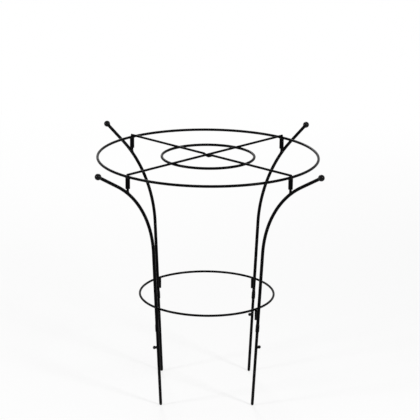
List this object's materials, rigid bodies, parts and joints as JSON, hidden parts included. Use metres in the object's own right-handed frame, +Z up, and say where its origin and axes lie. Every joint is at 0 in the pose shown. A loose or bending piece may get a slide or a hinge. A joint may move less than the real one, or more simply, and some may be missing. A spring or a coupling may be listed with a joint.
{
  "type": "grow-through plant support",
  "caption": "Free-standing wire grid on bent tube legs with ball ends, a lower hoop and plug-in ground stakes, for stems that grow up through the grid.",
  "frame": {"origin": "on the ground, on the common axis of the hoops, at the bottom centre of the whole part", "axes": "+Z up along the axis of the hoops; +X to the right as the picture shows it; -Y towards the camera. The legs stand at 45 degrees to X and Y."},
  "size_m": [0.4628, 0.4628, 0.5367],
  "materials": {
    "powder_coat": "semi-gloss black powder coat with a fine orange peel",
    "ball_coat": "glossier black powder coat on the turned balls",
    "stake_coat": "semi-gloss black powder coat, duller towards the tip"
  },
  "bodies": {
    "lower_hoop_unit": {"lower_hoop": "powder_coat", "ring_pin_front_left": "powder_coat", "ring_pin_front_right": "powder_coat", "ring_pin_back_right": "powder_coat", "ring_pin_back_left": "powder_coat"},
    "grid_unit": {"grid_hoop": "powder_coat", "grid_inner_ring": "powder_coat", "grid_upper_bar": "powder_coat", "grid_lower_bar": "powder_coat", "grid_sleeve_front_left": "powder_coat", "grid_sleeve_front_right": "powder_coat", "grid_sleeve_back_right": "powder_coat", "grid_sleeve_back_left": "powder_coat"},
    "leg_unit_front_left": {"leg_tube_front_left": "powder_coat", "finial_ball_front_left": "ball_coat", "grid_peg_front_left": "powder_coat", "ring_socket_front_left": "powder_coat"},
    "leg_unit_front_right": {"leg_tube_front_right": "powder_coat", "finial_ball_front_right": "ball_coat", "grid_peg_front_right": "powder_coat", "ring_socket_front_right": "powder_coat"},
    "leg_unit_back_right": {"leg_tube_back_right": "powder_coat", "finial_ball_back_right": "ball_coat", "grid_peg_back_right": "powder_coat", "ring_socket_back_right": "powder_coat"},
    "leg_unit_back_left": {"leg_tube_back_left": "powder_coat", "finial_ball_back_left": "ball_coat", "grid_peg_back_left": "powder_coat", "ring_socket_back_left": "powder_coat"},
    "stake_unit_front_left": {"stake_front_left": "stake_coat", "stop_stub_front_left": "ball_coat"},
    "stake_unit_front_right": {"stake_front_right": "stake_coat", "stop_stub_front_right": "ball_coat"},
    "stake_unit_back_right": {"stake_back_right": "stake_coat", "stop_stub_back_right": "ball_coat"},
    "stake_unit_back_left": {"stake_back_left": "stake_coat", "stop_stub_back_left": "ball_coat"}
  },
  "joints": [
    {"name": "grid_lift", "type": "slide", "parent": "lower_hoop_unit", "child": "grid_unit", "axis": [0, 0, 1], "range_m": [0, 0.04]},
    {"name": "leg_pull_front_left", "type": "slide", "parent": "lower_hoop_unit", "child": "leg_unit_front_left", "axis": [0, 0, 1], "range_m": [-0.03, 0]},
    {"name": "leg_pull_front_right", "type": "slide", "parent": "lower_hoop_unit", "child": "leg_unit_front_right", "axis": [0, 0, 1], "range_m": [-0.03, 0]},
    {"name": "leg_pull_back_right", "type": "slide", "parent": "lower_hoop_unit", "child": "leg_unit_back_right", "axis": [0, 0, 1], "range_m": [-0.03, 0]},
    {"name": "leg_pull_back_left", "type": "slide", "parent": "lower_hoop_unit", "child": "leg_unit_back_left", "axis": [0, 0, 1], "range_m": [-0.03, 0]},
    {"name": "stake_pull_front_left", "type": "slide", "parent": "leg_unit_front_left", "child": "stake_unit_front_left", "axis": [-0.0444, -0.0444, 0.998], "range_m": [-0.025, 0]},
    {"name": "stake_pull_front_right", "type": "slide", "parent": "leg_unit_front_right", "child": "stake_unit_front_right", "axis": [0.0444, -0.0444, 0.998], "range_m": [-0.025, 0]},
    {"name": "stake_pull_back_right", "type": "slide", "parent": "leg_unit_back_right", "child": "stake_unit_back_right", "axis": [0.0444, 0.0444, 0.998], "range_m": [-0.025, 0]},
    {"name": "stake_pull_back_left", "type": "slide", "parent": "leg_unit_back_left", "child": "stake_unit_back_left", "axis": [-0.0444, 0.0444, 0.998], "range_m": [-0.025, 0]}
  ]
}
